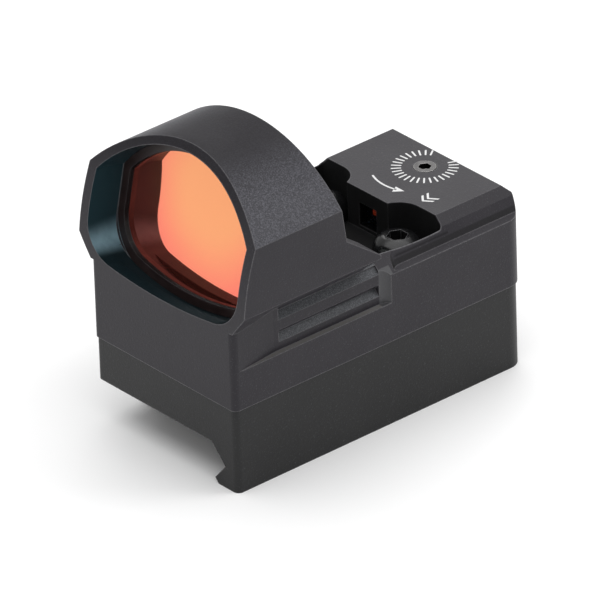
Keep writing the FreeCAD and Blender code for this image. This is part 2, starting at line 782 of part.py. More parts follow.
def clamp_jaw():
    """Loose jaw: a plate with a hook that catches the rail's lower flank."""
    body = new_body("clamp_jaw_body")
    outline = [("jaw_inner", "jaw_top"), ("-side + jaw_edge", "jaw_top"), ("-side", "jaw_top - jaw_edge"),
               ("-side", "-leg_depth + jaw_edge"), ("-side + jaw_edge", "-leg_depth"),
               ("-hook_toe", "-leg_depth"), ("-hook_tip", "-hook_tip_depth"),
               ("jaw_inner", "-flank_apex_depth")]
    extrude(body, "Pad", loop(frontal(body, "-jaw_length / 2"), outline), "jaw_length", reverse=True)
    steps = (("counterbore_radius", "counterbore_depth"), ("m3_radius + running_play", "jaw_thickness"))
    for radius, depth in steps:
        sketch = lateral(body, "-side")
        for sign in ("", "-"):
            ring(sketch, (sign + "clamp_screw_y", "clamp_screw_z"), radius)
        extrude(body, "Pocket", sketch, depth, reverse=True)
    keep("clamp_jaw", body)


def hexagon(sketch, width):
    """A hexagon round the sketch's origin, given its width across flats."""
    corner = "({}) / sqrt(3) * {}({})"
    return loop(sketch, [(corner.format(width, "cos", angle), corner.format(width, "sin", angle))
                         for angle in range(0, 360, 60)])


def turned(name, profile, driver_width, driver_depth, driver_top):
    """A turned piece about its own Z axis, with a hexagon socket sunk from its top."""
    body = new_body(name + "_body")
    sketch = loop(sketch_on(body, "XZ_Plane", ("0", "0", "0")), profile)
    turn = body.newObject("PartDesign::Revolution", "turn")
    turn.Profile = sketch
    turn.ReferenceAxis = (sketch, ["V_Axis"])
    turn.Angle = 360
    doc.recompute()
    extrude(body, "Pocket", hexagon(plan(body, driver_top), driver_width), driver_depth)
    return body


def m3_screw(label, head_radius, head_height, head_flat, dome, length, driver):
    """An M3 screw with its seat at the origin, head up: a straight rim under a rounded crown."""
    profile = [("0", "-({})".format(length)), ("m3_radius", "-({})".format(length)), ("m3_radius", "0"),
               (head_radius, "0"), (head_radius, "({}) - ({})".format(head_height, dome)),
               (head_flat, head_height, "({}) * head_crown".format(dome)), ("0", head_height)]
    return turned(label, profile, driver[0], driver[1], head_height)


def mount_screws():
    """Round-headed screws that hold the housing down on the riser."""
    for label, sign in (("mount_screw_left", "-"), ("mount_screw_right", "")):
        screw = m3_screw(label, "mount_head_radius", "mount_head_height", "mount_head_flat",
                         "mount_head_dome", "mount_screw_length",
                         ("mount_driver_width", "mount_driver_depth"))
        keep(label, place(screw, (sign + "mount_screw_x", "mount_screw_y", "cavity_floor")))


def clamp_screws():
    """Button-head screws through the jaw into the riser."""
    for label, sign in (("clamp_screw_front", "-"), ("clamp_screw_rear", "")):
        screw = m3_screw(label, "button_head_radius", "button_head_height", "button_head_flat",
                         "button_head_dome", "clamp_screw_length",
                         ("button_driver_width", "button_driver_depth"))
        keep(label, place(screw, ("clamp_head", sign + "clamp_screw_y", "clamp_screw_z"), ((0, 1, 0), -90)))


def adjuster(name, length, at, turn):
    """A captive adjuster: grooved screw, its seal ring and its retaining clip, head up at the origin."""
    ring_low = "-(ring_start + ring_section)"
    clip_top = "-{}_clip_start".format(name)
    clip_low = "{} - clip_thickness".format(clip_top)
    profile = [("0", "-({})".format(length)), ("thread_radius", "-({})".format(length)),
               ("thread_radius", clip_low), ("neck_radius", clip_low), ("neck_radius", clip_top),
               ("head_radius", clip_top), ("head_radius", ring_low), ("neck_radius", ring_low),
               ("neck_radius", "-ring_start"), ("head_radius", "-ring_start"), ("head_radius", "0"),
               ("0", "0")]
    screw = turned(name + "_screw", profile, "driver_width", "driver_depth", "0")
    keep(name + "_screw", place(screw, at, turn))
    seal = new_body(name + "_o_ring_body")
    sketch = ring(plan(seal, ring_low), ("0", "0"), "head_radius + running_play / 2")
    ring(sketch, ("0", "0"), "neck_radius")
    extrude(seal, "Pad", sketch, "ring_section")
    keep(name + "_o_ring", place(seal, at, turn))
    clip = new_body(name + "_clip_body")
    sketch = ring(plan(clip, clip_low), ("0", "0"), "clip_radius")
    ring(sketch, ("0", "0"), "neck_radius")
    extrude(clip, "Pad", sketch, "clip_thickness")
    mouth = rectangle(("-clip_slot_half", "clip_slot_half"), ("0", "clip_radius + 1"))
    extrude(clip, "Pocket", loop(plan(clip, clip_low), mouth), "clip_thickness", reverse=True)
    keep(name + "_clip", place(clip, at, turn))


def adjusters():
    adjuster("elevation", "block_top + elevation_proud - elevation_end",
             ("0", "elevation_y", "block_top + elevation_proud"), None)
    adjuster("windage", "side + windage_end", ("-side", "windage_y", "windage_z"), ((0, 1, 0), -90))


def elevation_block():
    """Nut slab lifted by the elevation screw, with a cross rail that carries the led carrier."""
    slab = box(("-lift_half", "lift_half"), ("lift_front", "lift_rear"), ("lift_low", "lift_top"))
    rail = box(("-lift_half", "lift_half"), ("rail_front", "rail_front + rail_width"),
               ("lift_top", "lift_top + rail_height"))
    hole = rod("z", "thread_hole", "lift_top - lift_low", ("0", "elevation_y", "lift_low"))
    keep("elevation_block", cut(fuse(slab, rail), hole))


def led_carrier():
    """Block that holds the emitter, grooved for the cross rail and slotted for the windage fork."""
    low = "lift_top + side_play"
    base = box(("-carrier_half", "carrier_half"), ("carrier_front", "carrier_rear"), (low, "carrier_top"))
    groove = box(("-carrier_half", "carrier_half"),
                 ("rail_front - side_play", "rail_front + rail_width + side_play"),
                 (low, "lift_top + rail_height + side_play"))
    slot = box(("-(fork_half + side_play)", "fork_half + side_play"),
               ("fork_front - side_play", "carrier_rear"), (low, "carrier_top"))
    keep("led_carrier", cut(base, groove, slot))
    emitter = box(("-emitter_half", "emitter_half"), ("carrier_front - emitter_thickness", "carrier_front"),
                  ("emitter_z - emitter_height / 2", "emitter_z + emitter_height / 2"))
    keep("led_emitter", emitter)


def windage_block():
    """Nut moved sideways by the windage screw; its arm ends in a tongue in the carrier's slot."""
    nut = box(("nut_outer", "nut_inner"), ("nut_front", "arm_rear"), ("nut_low", "nut_top"))
    arm = box(("nut_inner", "fork_half"), ("arm_front", "arm_rear"), ("arm_low", "arm_top"))
    tongue = box(("-fork_half", "fork_half"), ("fork_front", "arm_front"), ("arm_low", "arm_top"))
    hole = rod("x", "thread_hole", "nut_inner - nut_outer", ("nut_outer", "windage_y", "windage_z"))
    keep("windage_block", cut(fuse(nut, arm, tongue), hole))


def coil(label, start, end, turns, at, turn):
    """A coil spring of square wire along its own Z axis from start to end."""
    half = value_of("spring_wire")
    mean = value_of("thread_radius + spring_play + spring_wire")
    span = end - start - 2 * half
    helix = Part.makeHelix(span / turns, span, mean)
    tilt = math.atan2(span / turns, 2 * math.pi * mean)
    middle, out = FreeCAD.Vector(mean, 0, 0), FreeCAD.Vector(half, 0, 0)
    rise = FreeCAD.Vector(0, -math.sin(tilt), math.cos(tilt)) * half
    corners = [middle - out - rise, middle + out - rise, middle + out + rise, middle - out + rise]
    section = Part.makePolygon(corners + corners[:1])
    item = doc.addObject("Part::Feature", label)
    item.Shape = Part.Wire(helix.Edges).makePipeShell([section], True, True)
    item.Placement = FreeCAD.Placement(FreeCAD.Vector(*at), turned_by(turn))
    keep(label, item)


def springs():
    """Anti-backlash springs between each captive screw's clip and its nut."""
    wire = value_of("spring_wire")
    low = value_of("lift_top")
    high = value_of("block_top + elevation_proud - elevation_clip_start - clip_thickness")
    coil("elevation_spring", low, high, 3, (0, value_of("elevation_y"), low + wire), ((0, 0, 1), 0))
    left = value_of("-side + windage_clip_start + clip_thickness")
    coil("windage_spring", left, value_of("nut_outer"), 3,
         (left + wire, value_of("windage_y"), value_of("windage_z")), ((0, 1, 0), 90))


def emitter_pane():
    keep("emitter_window", box(("-slot_half", "slot_half"), ("pane_front", "pane_front + pane_thickness"),
                               ("slot_low", "adjuster_top")))


def electronics():
    """Circuit board with its chips, side-push switches and the flexible lead to the emitter."""
    board = box(("-board_half", "board_half"), ("board_front", "board_rear"), ("board_low", "board_top"))
    keep("circuit_board", board)
    chips = []
    for x, y, length, width in CHIPS:
        along, across = (str(x - length / 2), str(x + length / 2)), (str(y - width / 2), str(y + width / 2))
        chips.append(box(along, across, ("board_top", "board_top + chip_height")))
    keep("board_chips", group(*chips))
    for label, spot in (("switch_front", "button_front_y"), ("switch_rear", "button_rear_y")):
        case = box(("-board_half", "-board_half + switch_depth"),
                   (spot + " - switch_width / 2", spot + " + switch_width / 2"),
                   ("board_top", "board_top + switch_height"))
        plunger = rod("x", "plunger_radius", "-board_half - plunger_tip",
                      ("plunger_tip", spot, "board_top + switch_height / 2"))
        keep(label, fuse(case, plunger))
    strip = box(("-flex_half", "flex_half"), ("board_rear - 1", "flex_rear"),
                ("board_top", "board_top + flex_thickness"))
    riser = box(("-flex_half", "flex_half"), ("flex_rear - flex_thickness", "flex_rear"),
                ("board_top", "flex_rise"))
    keep("led_flex", fuse(strip, riser))


def battery():
    """Coin cell, the slotted spring plate under it and the leaf from the board above."""
    keep("coin_cell", rod("z", "cell_radius", "cell_height", ("cell_x", "cell_y", "cell_low")))
    plate = rod("z", "contact_radius", "contact_thickness", ("cell_x", "cell_y", "battery_floor"))
    slot_x = ("cell_x - contact_slot / 2", "cell_x + contact_slot / 2")
    slots = [box(slot_x, span, ("battery_floor", "cell_low"))
             for span in (("cell_y + contact_hub", "cell_y + contact_radius"),
                          ("cell_y - contact_radius", "cell_y - contact_hub"))]
    keep("battery_spring", cut(plate, *slots))
    leaf_y = ("cell_y - leaf_width / 2", "cell_y + leaf_width / 2")
    leaf = box(("cell_x - leaf_length / 2", "cell_x + leaf_length / 2"), leaf_y,
               ("cell_top", "cell_top + leaf_thickness"))
    foot = box(("cell_x - leaf_length / 2", "cell_x - leaf_length / 2 + leaf_foot"), leaf_y,
               ("cell_top", "board_low"))
    keep("battery_contact", fuse(leaf, foot))


def buttons():
    """Two push buttons held in the left wall by their inner flanges."""
    for label, spot in (("button_plus", "button_front_y"), ("button_minus", "button_rear_y")):
        body = new_body(label + "_body")
        inner = "side - room_half + button_proud"
        profile = [("0", "-({}) - button_flange_thickness".format(inner)),
                   ("button_flange", "-({}) - button_flange_thickness".format(inner)),
                   ("button_flange", "-({})".format(inner)), ("button_radius", "-({})".format(inner)),
                   ("button_radius", "-button_edge"), ("button_radius - button_edge", "0", "button_edge"),
                   ("0", "0")]
        sketch = loop(sketch_on(body, "XZ_Plane", ("0", "0", "0")), profile)
        turn = body.newObject("PartDesign::Revolution", "turn")
        turn.Profile = sketch
        turn.ReferenceAxis = (sketch, ["V_Axis"])
        turn.Angle = 360
        keep(label, place(body, ("-side - button_proud", spot, "button_z"), ((0, 1, 0), -90)))


def dowels():
    for label, sign in (("dowel_left", "-"), ("dowel_right", "")):
        keep(label, rod("z", "dowel_radius", "dowel_length",
                        (sign + "dowel_x", "dowel_y", "seam_height - dowel_length / 2")))


def export():
    """Check every object and every sub-part, then write one file for each sub-part."""
    doc.recompute()
    for item in doc.Objects:
        if any(word in ("Invalid", "Error") for word in item.State):
            raise RuntimeError("{} failed: {}".format(item.Name, item.State))
    os.makedirs("parts", exist_ok=True)
    for item in parts:
        shape = item.Shape
        if shape.isNull() or not shape.isValid():
            raise RuntimeError("{} has no valid shape".format(item.Label))
        shape.exportStep(os.path.join("parts", item.Label + ".step"))
        print("{:22s} {:2d} solid(s) {:10.2f} mm3".format(item.Label, len(shape.Solids), shape.Volume))


housing()
lens()
mount_body()
base_gasket()
clamp_jaw()
mount_screws()
clamp_screws()
adjusters()
elevation_block()
led_carrier()
windage_block()
springs()
emitter_pane()
electronics()
battery()
buttons()
dowels()
export()
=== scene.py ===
import json
import math

import bmesh
import bpy
from mathutils import Matrix, Vector


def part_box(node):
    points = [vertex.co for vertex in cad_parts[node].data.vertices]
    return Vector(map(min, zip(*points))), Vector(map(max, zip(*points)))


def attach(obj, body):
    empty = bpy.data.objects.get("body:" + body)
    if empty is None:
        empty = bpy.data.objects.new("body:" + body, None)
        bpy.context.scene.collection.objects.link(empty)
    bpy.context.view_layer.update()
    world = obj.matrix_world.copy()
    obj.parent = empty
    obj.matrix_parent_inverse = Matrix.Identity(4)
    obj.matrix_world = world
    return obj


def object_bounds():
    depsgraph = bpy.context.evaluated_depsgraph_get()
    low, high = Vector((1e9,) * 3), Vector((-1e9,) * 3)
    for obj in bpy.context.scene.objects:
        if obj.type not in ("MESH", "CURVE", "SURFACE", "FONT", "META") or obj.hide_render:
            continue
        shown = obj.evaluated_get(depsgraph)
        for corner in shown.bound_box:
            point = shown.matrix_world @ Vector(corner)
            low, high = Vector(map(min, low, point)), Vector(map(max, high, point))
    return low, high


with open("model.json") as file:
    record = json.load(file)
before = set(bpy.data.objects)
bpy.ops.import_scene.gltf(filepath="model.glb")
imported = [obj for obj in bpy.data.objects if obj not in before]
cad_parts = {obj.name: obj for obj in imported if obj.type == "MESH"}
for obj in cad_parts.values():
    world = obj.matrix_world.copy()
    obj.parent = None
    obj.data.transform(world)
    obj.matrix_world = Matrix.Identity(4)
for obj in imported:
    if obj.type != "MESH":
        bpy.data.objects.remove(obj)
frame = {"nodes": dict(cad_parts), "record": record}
cad_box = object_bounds()
MM = 0.001

# ---------------------------------------------------------------- camera

AZIMUTH, ELEVATION, ROLL = math.radians(50.067), math.radians(29.418), math.radians(-1.969)
TARGET = Vector((0.0, -0.001237, 0.009854))
DISTANCE = 1.3842


def add_camera():
    """A long lens that looks at the front and the fixed-leg side from above."""
    back = Vector((math.sin(AZIMUTH) * math.cos(ELEVATION), -math.cos(AZIMUTH) * math.cos(ELEVATION),
                   math.sin(ELEVATION)))
    right = Vector((math.cos(AZIMUTH), math.sin(AZIMUTH), 0.0))
    up = back.cross(right)
    across = right * math.cos(ROLL) + up * math.sin(ROLL)
    upward = up * math.cos(ROLL) - right * math.sin(ROLL)
    data = bpy.data.cameras.new("camera")
    data.lens = 673.45
    data.sensor_width = 36.0
    data.shift_x = -0.0035
    data.shift_y = -0.0272
    data.clip_start = 0.05
    data.clip_end = 20.0
    camera = bpy.data.objects.new("camera", data)
    camera.matrix_world = Matrix.Translation(TARGET + back * DISTANCE) @ Matrix(
        (across, upward, back)).transposed().to_4x4()
    bpy.context.scene.collection.objects.link(camera)
    bpy.context.scene.camera = camera


# ---------------------------------------------------------------- light and floor

STUDIO_CENTRE = Vector((0.0, 0.0, 0.015))
FLOOR_HALF_WIDTH = 3.0


def add_area(name, place, size, energy):
    """A rectangular lamp at place, turned towards the part."""
    data = bpy.data.lights.new(name, "AREA")
    data.shape = "RECTANGLE"
    data.size, data.size_y = size
    data.energy = energy
    lamp = bpy.data.objects.new(name, data)
    place = Vector(place)
    turn = (STUDIO_CENTRE - place).to_track_quat("-Z", "Y").to_matrix().to_4x4()
    lamp.matrix_world = Matrix.Translation(place) @ turn
    bpy.context.scene.collection.objects.link(lamp)


def add_studio():
    """An even white room with three lamps, and a white floor under the part."""
    scene = bpy.context.scene
    scene.view_settings.view_transform = "Standard"
    scene.view_settings.look = "None"
    world = bpy.data.worlds.new("studio")
    world.use_nodes = True
    sky = world.node_tree.nodes["Background"]
    sky.inputs["Color"].default_value = (1.0, 1.0, 1.0, 1.0)
    sky.inputs["Strength"].default_value = 0.6
    scene.world = world
    add_area("top_light", (0.0, 0.0, 0.90), (1.2, 1.2), 6.5)
    add_area("rear_left_light", (-0.60, 0.50, 0.45), (0.55, 0.45), 1.2)
    add_area("rear_right_light", (0.45, 0.55, 0.62), (0.35, 0.35), 1.3)
    low, half = cad_box[0][2], FLOOR_HALF_WIDTH
    mesh = bpy.data.meshes.new("floor")
    mesh.from_pydata([(-half, -half, low), (half, -half, low), (half, half, low), (-half, half, low)], [],
                     [(0, 1, 2, 3)])
    paint = Finish("studio_floor").paint(Base_Color=(0.97, 0.97, 0.97), Roughness=0.9, Specular_IOR_Level=0.1)
    mesh.materials.append(paint)
    floor = bpy.data.objects.new("floor", mesh)
    scene.collection.objects.link(floor)


# ---------------------------------------------------------------- material building blocks

class Finish:
    """A node material made up step by step. Every coordinate is the part's own, in metres."""

    def __init__(self, name):
        self.material = bpy.data.materials.new(name)
        self.material.use_nodes = True
        self.tree = self.material.node_tree
        self.shader = self.tree.nodes["Principled BSDF"]
        self.output = self.tree.nodes["Material Output"]
        self.place = None

    def node(self, kind, **settings):
        made = self.tree.nodes.new(kind)
        for key, value in settings.items():
            setattr(made, key, value)
        return made

    def feed(self, socket, value):
        """Links value to the socket if it is an output, and else sets it as the socket's own value."""
        if isinstance(value, bpy.types.NodeSocket):
            self.tree.links.new(value, socket)
        elif isinstance(value, tuple) and len(value) == 3 and len(socket.default_value) == 4:
            socket.default_value = (*value, 1.0)
        else:
            socket.default_value = value

    def paint(self, **sockets):
        """Sets the shader's sockets, with _ for the spaces in their names, and returns the material."""
        for name, value in sockets.items():
            self.feed(self.shader.inputs[name.replace("_", " ")], value)
        return self.material

    def over_clear(self, tint, share):
        """Shows share of the shader and lets the rest of the light pass, tinted, and returns the material."""
        clear = self.node("ShaderNodeBsdfTransparent")
        self.feed(clear.inputs["Color"], tint)
        join = self.node("ShaderNodeMixShader")
        self.feed(join.inputs[0], share)
        self.feed(join.inputs[1], clear.outputs[0])
        self.feed(join.inputs[2], self.shader.outputs[0])
        self.feed(self.output.inputs["Surface"], join.outputs[0])
        return self.material

    # where a point is, and which way its surface faces

    def where(self):
        if self.place is None:
            self.place = self.node("ShaderNodeTexCoord").outputs["Object"]
        return self.place

    def normal(self):
        return self.node("ShaderNodeNewGeometry").outputs["Normal"]

    def split(self, vector):
        made = self.node("ShaderNodeSeparateXYZ")
        self.feed(made.inputs[0], vector)
        return made.outputs

    def stretched(self, scale):
        """The place with each axis multiplied, so that noise read there is drawn out along the small ones."""
        mapped = self.node("ShaderNodeMapping")
        self.feed(mapped.inputs["Vector"], self.where())
        mapped.inputs["Scale"].default_value = scale
        return mapped.outputs["Vector"]

    def rounded(self, radius):
        """The normal as if every edge were rounded to radius."""
        made = self.node("ShaderNodeBevel", samples=6)
        made.inputs["Radius"].default_value = radius
        return made.outputs["Normal"]

    def edges(self, radius):
        """1 along the part's sharp edges, fading to 0 at radius from them."""
        bend = self.calc("SUBTRACT", 1.0, self.dot(self.rounded(radius), self.normal()))
        return self.span(bend, 0.004, 0.10)

    # patterns

    def noise(self, grain, detail=2.0, roughness=0.5, at=None, seed=0.0):
        """Noise whose features are about grain metres across."""
        made = self.node("ShaderNodeTexNoise", noise_dimensions="4D")
        self.feed(made.inputs["Vector"], at or self.where())
        made.inputs["W"].default_value = seed
        made.inputs["Scale"].default_value = 1.0 / grain
        made.inputs["Detail"].default_value = detail
        made.inputs["Roughness"].default_value = roughness
        return made.outputs["Fac"]

    def cell_edges(self, size):
        """The distance to the nearest edge of a net whose cells are about size metres across."""
        made = self.node("ShaderNodeTexVoronoi", feature="DISTANCE_TO_EDGE")
        self.feed(made.inputs["Vector"], self.where())
        made.inputs["Scale"].default_value = 1.0 / size
        return made.outputs["Distance"]

    def bump(self, height, depth, strength=1.0, over=None):
        made = self.node("ShaderNodeBump")
        made.inputs["Strength"].default_value = strength
        made.inputs["Distance"].default_value = depth
        self.feed(made.inputs["Height"], height)
        if over is not None:
            self.feed(made.inputs["Normal"], over)
        return made.outputs["Normal"]

    # arithmetic

    def calc(self, kind, first, second=None):
        made = self.node("ShaderNodeMath", operation=kind)
        self.feed(made.inputs[0], first)
        if second is not None:
            self.feed(made.inputs[1], second)
        return made.outputs[0]

    def times(self, first, *others):
        for other in others:
            first = self.calc("MULTIPLY", first, other)
        return first

    def opposite(self, share):
        return self.calc("SUBTRACT", 1.0, share)

    def minus(self, first, second):
        """One vector less another."""
        made = self.node("ShaderNodeVectorMath", operation="SUBTRACT")
        self.feed(made.inputs[0], first)
        self.feed(made.inputs[1], second)
        return made.outputs["Vector"]

    def dot(self, first, second):
        made = self.node("ShaderNodeVectorMath", operation="DOT_PRODUCT")
        self.feed(made.inputs[0], first)
        self.feed(made.inputs[1], second)
        return made.outputs["Value"]

    def span(self, value, low, high, start=0.0, end=1.0, smooth=True):
        """Goes from start at low to end at high, and stays there beyond them."""
        made = self.node("ShaderNodeMapRange", interpolation_type="SMOOTHSTEP" if smooth else "LINEAR")
        for name, item in (("Value", value), ("From Min", low), ("From Max", high), ("To Min", start),
                           ("To Max", end)):
            self.feed(made.inputs[name], item)
        return made.outputs["Result"]

    def within(self, value, low, high, soft):
        """1 from low to high, fading to 0 over soft on either side of each."""
        rise = self.span(value, low - soft, low + soft)
        fall = self.span(value, high - soft, high + soft, 1.0, 0.0)
        return self.times(rise, fall)

    def mix(self, share, first, second):
        """The first colour where share is 0, the second where it is 1."""
        made = self.node("ShaderNodeMix", data_type="RGBA")
        self.feed(made.inputs[0], share)
        self.feed(made.inputs[6], first)
        self.feed(made.inputs[7], second)
        return made.outputs[2]

    def blend(self, share, first, second):
        """The first number where share is 0, the second where it is 1."""
        return self.calc("ADD", self.times(first, self.opposite(share)), self.times(share, second))


# ---------------------------------------------------------------- finishes, one for each slot

# The lens leans back. Its axis points forwards, its rise is up along its face, and the middle is that of the
# window in front of it.
LENS_TILT = math.radians(12.5)
LENS_AXIS = (0.0, -math.cos(LENS_TILT), math.sin(LENS_TILT))
LENS_RISE = (0.0, math.sin(LENS_TILT), math.cos(LENS_TILT))
WINDOW_MIDDLE = (0.0, -20.5 * MM, 20.5 * MM)

# Where the coating is at its most orange. It turns redder away from there.
ORANGE_SPOT = (2.0 * MM, -17.0 * MM, 29.0 * MM)


def anodised(name, base, light, blast, housing=False):
    """Bead-blasted and anodised aluminium: fine grain, faint mottling, edges rubbed a little brighter, partly wear
    and partly a painted highlight.
    """
    f = Finish(name)
    grain = f.noise(0.19 * MM, 2.5, 0.65)
    coarse = f.noise(0.34 * MM, 2.0, 0.6, seed=3.0)
    cloud = f.noise(9.0 * MM, 3.0, 0.55, seed=7.0)
    colour = f.mix(f.span(cloud, 0.30, 0.72), base, light)
    speck = f.span(grain, 0.56, 0.74, 0.0, blast)
    if housing:
        colour, speck = side_ribs(f, colour, speck)
    colour = f.mix(speck, colour, (0.20, 0.20, 0.22))
    rough = f.span(cloud, 0.2, 0.8, 0.40, 0.50)
    # Lighter edges: partly wear, partly a painted highlight along the edges.
    rub_and_highlight = f.times(f.edges(0.22 * MM), f.span(coarse, 0.25, 0.6, 0.35, 0.85))
    if housing:
        colour, rough = hood_top(f, colour, rough)
        colour = relief_shade(f, colour)
        colour, rough, rub_and_highlight = window_walls(f, colour, rough, rub_and_highlight)
        colour, rough, rub_and_highlight = trough_walls(f, colour, rough, rub_and_highlight)
    colour = f.mix(rub_and_highlight, colour, (0.155, 0.152, 0.160))
    height = f.calc("ADD", grain, f.times(coarse, 0.8))
    return f.paint(Base_Color=colour, Metallic=0.0, Roughness=rough, Specular_IOR_Level=0.25,
                   Normal=f.bump(height, 0.040 * MM, 0.60, f.rounded(0.10 * MM)))


def side_ribs(f, colour, speck):
    """In each flank's ribbed recess, the faces that look up are painted lighter as lit from above, and finely
    speckled; the ledge along its foot gets a painted highlight, and its rounded rear end is painted lighter as lit.
    """
    x, y, z = f.split(f.where())
    wide = f.calc("ABSOLUTE", x)
    recess = f.times(f.within(wide, 11.3 * MM, 13.3 * MM, 0.02 * MM), f.within(y, -22.5 * MM, 0.4 * MM, 0.1 * MM),
                     f.within(z, 11.2 * MM, 17.2 * MM, 0.1 * MM))
    # The up-facing faces, which get painted light from above.
    painted_lit_faces = f.times(recess, f.span(f.split(f.normal())[2], 0.15, 0.5))
    # The ledge at the foot of the recess, which gets a painted highlight.
    painted_ledge_highlight = f.times(painted_lit_faces, f.span(z, 11.45 * MM, 11.6 * MM, 1.0, 0.0))
    # The rounded rear end of the recess, painted lighter as lit.
    end = f.times(f.within(wide, 12.45 * MM, 13.33 * MM, 0.02 * MM), f.within(y, 0.45 * MM, 2.2 * MM, 0.1 * MM),
                  f.within(z, 11.3 * MM, 17.3 * MM, 0.1 * MM))
    for share, tone in ((painted_lit_faces, (0.043, 0.046, 0.051)), (painted_ledge_highlight, (0.135, 0.128, 0.120)), (end, (0.066, 0.066, 0.070))):
        colour = f.mix(share, colour, tone)
    fine = f.noise(0.11 * MM, 2.0, 0.6, seed=9.0)
    return colour, f.calc("ADD", speck, f.times(painted_lit_faces, f.span(fine, 0.42, 0.66, 0.0, 0.40)))


def hood_top(f, colour, rough):
    """The hood's arch is painted darker at its crown and lighter down its flanks, as the light falls on it, with
    painted glints on the flanks; the crown is also duller.
    """
    _, y, z = f.split(f.where())
    side, _, up = f.split(f.normal())
    hood = f.times(f.span(z, 18.9 * MM, 19.4 * MM), f.span(y, -7.0 * MM, 2.0 * MM, 1.0, 0.0),
                   f.span(up, 0.30, 0.55))
    flank = f.span(f.calc("ABSOLUTE", side), 0.10, 0.70)
    crown = f.times(hood, f.span(flank, 0.0, 1.0, 1.0, 0.0))
    # Painted glints, strongest down the flanks.
    painted_glints = f.times(hood, f.span(f.noise(0.17 * MM, 3.0, 0.7, seed=5.0), 0.40, 0.70),
                    f.span(flank, 0.0, 1.0, 0.10, 1.0))
    # Painted light and shade: darker crown, lighter flanks.
    colour = f.mix(hood, colour, f.mix(flank, (0.0105, 0.0090, 0.0120), (0.034, 0.033, 0.039)))
    colour = f.mix(painted_glints, colour, (0.105, 0.105, 0.122))
    return colour, f.calc("ADD", rough, f.times(crown, 0.20))


def relief_shade(f, colour):
    """The cut in each side bevel is painted darker at its rounded start and along its crease, as shade."""
    x, y, z = f.split(f.where())
    wide = f.calc("ABSOLUTE", x)
    zone = f.times(f.within(wide, 10.9 * MM, 13.30 * MM, 0.03 * MM), f.span(y, 2.0 * MM, 2.2 * MM),
                   f.within(z, 15.0 * MM, 17.45 * MM, 0.05 * MM))
    start = f.span(f.split(f.normal())[1], 0.12, 0.45)
    crease = f.times(f.within(z, 15.60 * MM, 16.25 * MM, 0.10 * MM),
                     f.span(f.calc("ADD", wide, z), 28.45 * MM, 28.55 * MM, 0.75, 0.0))
    # Painted shade at the cut's start and along its crease.
    return f.mix(f.times(zone, f.calc("MAXIMUM", start, crease)), colour, (0.0050, 0.0045, 0.0055))


def window_walls(f, colour, rough, rub_and_highlight):
    """The walls in front of the lens are smoother and a little blue-green, painted darker as shade, with their
    upright faces painted lighter as lit and a band of painted highlight low on them.
    """
    x, y, z = f.split(f.where())
    side_on = f.within(f.dot(f.normal(), LENS_AXIS), -0.45, 0.45, 0.05)
    ahead = f.span(y, -17.2 * MM, -17.0 * MM, 1.0, 0.0)
    inward = f.span(f.dot(f.minus(WINDOW_MIDDLE, f.where()), f.normal()), 0.0, 0.5 * MM)
    recess = f.times(f.span(f.calc("ABSOLUTE", x), 12.4 * MM, 12.5 * MM),
                     f.span(z, 17.5 * MM, 17.6 * MM, 1.0, 0.0))
    share = f.times(side_on, ahead, inward, f.opposite(recess))
    painted_lit_walls = f.span(f.calc("ABSOLUTE", f.split(f.normal())[0]), 0.45, 0.95)
    highlight_streak = f.noise(0.7 * MM, 3.0, 0.6, f.stretched((1.0, 1.0, 0.08)), 11.0)
    # A band of painted highlight low on the upright walls, broken up by streaks.
    painted_highlight_band = f.times(f.within(z, 16.4 * MM, 18.6 * MM, 2.6 * MM), f.span(highlight_streak, 0.2, 0.7, 0.75, 1.0))
    # Painted shade on the lower walls, painted light on the upright ones.
    tone = f.mix(painted_lit_walls, (0.007, 0.0145, 0.0180), f.mix(painted_highlight_band, (0.017, 0.038, 0.047), (0.56, 0.86, 1.00)))
    return f.mix(share, colour, tone), f.blend(share, rough, 0.30), f.times(rub_and_highlight, f.opposite(share))


def trough_walls(f, colour, rough, rub_and_highlight):
    """The trough in front of the emitter is painted near black as shade, and is matt."""
    x, y, z = f.split(f.where())
    wide = f.calc("ABSOLUTE", x)
    share = f.times(f.within(y, -7.4 * MM, 12.6 * MM, 0.15 * MM), f.span(wide, 11.75 * MM, 11.9 * MM, 1.0, 0.0),
                    f.span(z, 18.30 * MM, 18.42 * MM, 1.0, 0.0), f.span(z, 11.9 * MM, 12.1 * MM),
                    f.span(f.calc("ADD", wide, z), 28.2 * MM, 28.45 * MM, 1.0, 0.0))
    # Painted shade: near black over the whole trough.
    colour = f.mix(share, colour, (0.0030, 0.0030, 0.0034))
    return colour, f.blend(share, rough, 0.95), f.times(rub_and_highlight, f.opposite(f.times(share, 0.8)))


def coating(name):
    """The front coating mirrors red-orange towards the front and lets the rest through."""
    f = Finish(name)
    apart = f.minus(f.where(), ORANGE_SPOT)
    across, rise = f.split(apart)[0], f.dot(apart, LENS_RISE)
    away = f.calc("SQRT", f.calc("ADD", f.times(across, across), f.times(rise, rise)))
    away = f.calc("ADD", away, f.times(f.noise(4.0 * MM, 2.0, 0.4), 1.2 * MM))
    coat = f.mix(f.span(away, 5.0 * MM, 14.5 * MM), (0.86, 0.345, 0.155), (0.88, 0.185, 0.138))
    smear = f.noise(1.6 * MM, 4.0, 0.6, f.stretched((1.0, 1.0, 3.0)), 2.0)
    forwards = f.span(f.dot(f.normal(), LENS_AXIS), 0.5, 0.7)
    f.paint(Base_Color=coat, Metallic=0.95, Roughness=f.span(smear, 0.3, 0.8, 0.02, 0.06))
    return f.over_clear((0.80, 0.93, 0.95), f.times(forwards, 0.90))


